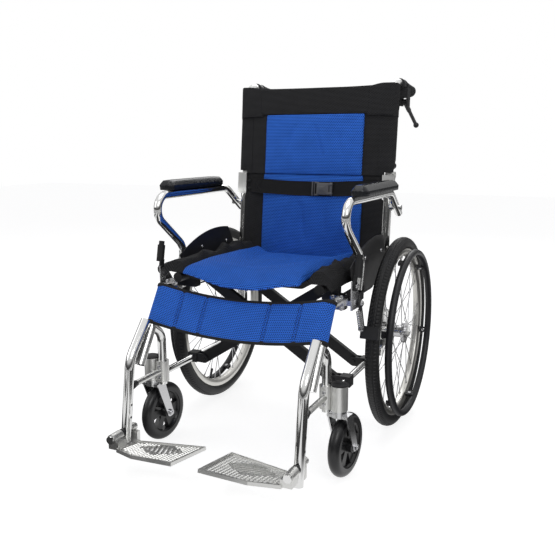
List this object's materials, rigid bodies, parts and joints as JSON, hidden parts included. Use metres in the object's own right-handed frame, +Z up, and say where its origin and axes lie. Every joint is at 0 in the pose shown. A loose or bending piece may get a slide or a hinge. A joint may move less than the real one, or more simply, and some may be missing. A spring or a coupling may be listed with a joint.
{
  "type": "transport wheelchair",
  "caption": "Folding wheelchair with spoked rear wheels and handrims, swivel casters, cross-brace fold, half-folding back, flip-up armrests and footplates, hand and parking brakes.",
  "frame": {"origin": "on the floor, under the middle of the overall box", "axes": "+Z up, the chair faces -Y, +X is the sitter's left"},
  "size_m": [0.628, 0.9508, 0.9255],
  "materials": {
    "polished_tube": "polished",
    "cast_alloy": "satin, cast",
    "bright_steel": "bright plated",
    "rim_alloy": "satin, warm grey",
    "tyre_rubber": "matt, ribbed tread",
    "caster_rubber": "satin",
    "handrim_coat": "satin black coat",
    "black_coat": "satin black coat",
    "black_plastic": "matt, moulded",
    "arm_foam": "soft moulded foam with a smooth skin",
    "grip_rubber": "matt, ringed",
    "black_cloth": "woven, dull",
    "black_webbing": "tight webbing with a grey moulded buckle",
    "blue_mesh": "air mesh",
    "cable_grey": "smooth cable sleeve"
  },
  "bodies": {
    "left_frame": {"left_frame": "polished_tube", "left_fittings": "black_plastic", "left_caster_housing": "cast_alloy", "left_skirt_guard": "black_plastic", "left_leg_tube": "polished_tube", "left_back_hinge": "cast_alloy", "left_park_base": "bright_steel", "left_brake_cable": "cable_grey", "back_lower": "black_cloth", "back_pad_lower": "blue_mesh", "lap_belt": "black_webbing", "calf_strap": "blue_mesh"},
    "right_frame": {"right_frame": "polished_tube", "right_fittings": "black_plastic", "right_caster_housing": "cast_alloy", "right_skirt_guard": "black_plastic", "right_leg_tube": "polished_tube", "right_back_hinge": "cast_alloy", "right_park_base": "bright_steel", "right_brake_cable": "cable_grey"},
    "cross_left": {"brace_left": "black_coat"},
    "cross_right": {"brace_right": "black_coat"},
    "seat": {"seat_sling": "black_cloth", "seat_cushion": "blue_mesh"},
    "left_wheel": {"left_tyre": "tyre_rubber", "left_rim": "rim_alloy", "left_spokes": "bright_steel", "left_hub": "bright_steel", "left_handrim": "handrim_coat"},
    "left_caster_swivel": {"left_caster_fork": "bright_steel"},
    "left_caster_roller": {"left_caster_wheel": "caster_rubber"},
    "left_arm": {"left_arm_tube": "polished_tube", "left_arm_pad": "arm_foam"},
    "left_foot": {"left_footplate": "cast_alloy"},
    "left_back": {"left_back_post": "polished_tube", "left_grip": "grip_rubber", "left_lever_bracket": "black_plastic", "back_upper": "black_cloth", "back_pad_upper": "blue_mesh"},
    "left_hand_lever": {"left_brake_lever": "black_plastic"},
    "left_release": {"left_back_release": "black_plastic"},
    "left_parking": {"left_park_lever": "grip_rubber"},
    "left_shoe": {"left_park_shoe": "black_plastic"},
    "right_wheel": {"right_tyre": "tyre_rubber", "right_rim": "rim_alloy", "right_spokes": "bright_steel", "right_hub": "bright_steel", "right_handrim": "handrim_coat"},
    "right_caster_swivel": {"right_caster_fork": "bright_steel"},
    "right_caster_roller": {"right_caster_wheel": "caster_rubber"},
    "right_arm": {"right_arm_tube": "polished_tube", "right_arm_pad": "arm_foam"},
    "right_foot": {"right_footplate": "cast_alloy"},
    "right_back": {"right_back_post": "polished_tube", "right_grip": "grip_rubber", "right_lever_bracket": "black_plastic"},
    "right_hand_lever": {"right_brake_lever": "black_plastic"},
    "right_release": {"right_back_release": "black_plastic"},
    "right_parking": {"right_park_lever": "grip_rubber"},
    "right_shoe": {"right_park_shoe": "black_plastic"}
  },
  "joints": [
    {"name": "fold", "type": "hinge", "parent": "left_frame", "child": "cross_left", "pos_m": [0.185, -0.001, 0.1909], "axis": [0, 1, 0], "range_deg": [0, 46], "deforming": ["seat_sling", "seat_cushion", "back_upper", "back_pad_upper", "back_lower", "back_pad_lower", "lap_belt", "calf_strap"]},
    {"name": "cross_pivot", "type": "hinge", "parent": "cross_left", "child": "cross_right", "pos_m": [0, -0.001, 0.31045], "axis": [0, 1, 0], "range_deg": [-93, 1]},
    {"name": "cross_foot", "type": "hinge", "parent": "cross_right", "child": "right_frame", "pos_m": [-0.185, -0.001, 0.1909], "axis": [0, 1, 0], "range_deg": [-1, 47]},
    {"name": "seat_pivot", "type": "hinge", "parent": "cross_left", "child": "seat", "pos_m": [-0.185, -0.001, 0.43], "axis": [0, 1, 0], "range_deg": [-47, 1]},
    {"name": "left_wheel_spin", "type": "hinge", "parent": "left_frame", "child": "left_wheel", "pos_m": [0.271, 0.175, 0.254], "axis": [1, 0, 0], "continuous": true},
    {"name": "left_caster_turn", "type": "hinge", "parent": "left_frame", "child": "left_caster_swivel", "pos_m": [0.248, -0.225, 0.2], "axis": [0, 0, 1], "continuous": true},
    {"name": "left_caster_spin", "type": "hinge", "parent": "left_caster_swivel", "child": "left_caster_roller", "pos_m": [0.25176, -0.1892, 0.0745], "axis": [0.9945, -0.1045, 0], "continuous": true},
    {"name": "left_arm_flip", "type": "hinge", "parent": "left_frame", "child": "left_arm", "pos_m": [0.242, 0.22574, 0.582], "axis": [-1, 0, 0], "range_deg": [0, 90]},
    {"name": "left_foot_flip", "type": "hinge", "parent": "left_frame", "child": "left_foot", "pos_m": [0.217, -0.41873, 0.098], "axis": [0, 1, 0], "range_deg": [-1, 90]},
    {"name": "left_back_fold", "type": "hinge", "parent": "left_frame", "child": "left_back", "pos_m": [0.217, 0.24825, 0.66661], "axis": [-1, 0, 0], "range_deg": [0, 95], "deforming": ["left_brake_cable", "right_brake_cable"]},
    {"name": "left_hand_brake", "type": "hinge", "parent": "left_back", "child": "left_hand_lever", "pos_m": [0.229, 0.32869, 0.86268], "axis": [1, 0, 0], "range_deg": [0, 18], "stiffness_Nm_per_rad": 1.2, "springref_deg": -5.73},
    {"name": "left_release_pull", "type": "slide", "parent": "left_back", "child": "left_release", "axis": [0, 0.9951, -0.0993], "range_m": [0, 0.008], "stiffness_N_per_m": 400, "springref_m": -0.002},
    {"name": "left_park_brake", "type": "hinge", "parent": "left_frame", "child": "left_parking", "pos_m": [0.254, -0.159, 0.44], "axis": [1, 0, 0], "range_deg": [0, 50]},
    {"name": "left_shoe_swing", "type": "hinge", "parent": "left_frame", "child": "left_shoe", "pos_m": [0.254, -0.121, 0.392], "axis": [1, 0, 0], "range_deg": [-18.5, 1]},
    {"name": "right_wheel_spin", "type": "hinge", "parent": "right_frame", "child": "right_wheel", "pos_m": [-0.271, 0.175, 0.254], "axis": [1, 0, 0], "continuous": true},
    {"name": "right_caster_turn", "type": "hinge", "parent": "right_frame", "child": "right_caster_swivel", "pos_m": [-0.248, -0.225, 0.2], "axis": [0, 0, 1], "continuous": true},
    {"name": "right_caster_spin", "type": "hinge", "parent": "right_caster_swivel", "child": "right_caster_roller", "pos_m": [-0.24424, -0.1892, 0.0745], "axis": [0.9945, -0.1045, 0], "continuous": true},
    {"name": "right_arm_flip", "type": "hinge", "parent": "right_frame", "child": "right_arm", "pos_m": [-0.242, 0.22574, 0.582], "axis": [-1, 0, 0], "range_deg": [0, 90]},
    {"name": "right_foot_flip", "type": "hinge", "parent": "right_frame", "child": "right_foot", "pos_m": [-0.217, -0.41873, 0.098], "axis": [0, -1, 0], "range_deg": [-1, 90]},
    {"name": "right_back_fold", "type": "hinge", "parent": "right_frame", "child": "right_back", "pos_m": [-0.217, 0.24825, 0.66661], "axis": [-1, 0, 0], "range_deg": [-1, 96]},
    {"name": "right_hand_brake", "type": "hinge", "parent": "right_back", "child": "right_hand_lever", "pos_m": [-0.229, 0.32869, 0.86268], "axis": [1, 0, 0], "range_deg": [0, 18], "stiffness_Nm_per_rad": 1.2, "springref_deg": -5.73},
    {"name": "right_release_pull", "type": "slide", "parent": "right_back", "child": "right_release", "axis": [0, 0.9951, -0.0993], "range_m": [0, 0.008], "stiffness_N_per_m": 400, "springref_m": -0.002},
    {"name": "right_park_brake", "type": "hinge", "parent": "right_frame", "child": "right_parking", "pos_m": [-0.254, -0.159, 0.44], "axis": [1, 0, 0], "range_deg": [0, 50]},
    {"name": "right_shoe_swing", "type": "hinge", "parent": "right_frame", "child": "right_shoe", "pos_m": [-0.254, -0.121, 0.392], "axis": [1, 0, 0], "range_deg": [-18.5, 1]}
  ],
  "couplings": [
    {"joint": "cross_pivot", "follows": "fold", "ratio": -2},
    {"joint": "cross_foot", "follows": "fold", "ratio": 1},
    {"joint": "seat_pivot", "follows": "fold", "ratio": -1},
    {"joint": "left_foot_flip", "follows": "fold", "ratio": 1.94},
    {"joint": "left_shoe_swing", "follows": "left_park_brake", "ratio": -0.35},
    {"joint": "right_foot_flip", "follows": "fold", "ratio": 1.94},
    {"joint": "right_back_fold", "follows": "left_back_fold", "ratio": 1},
    {"joint": "right_shoe_swing", "follows": "right_park_brake", "ratio": -0.35}
  ]
}
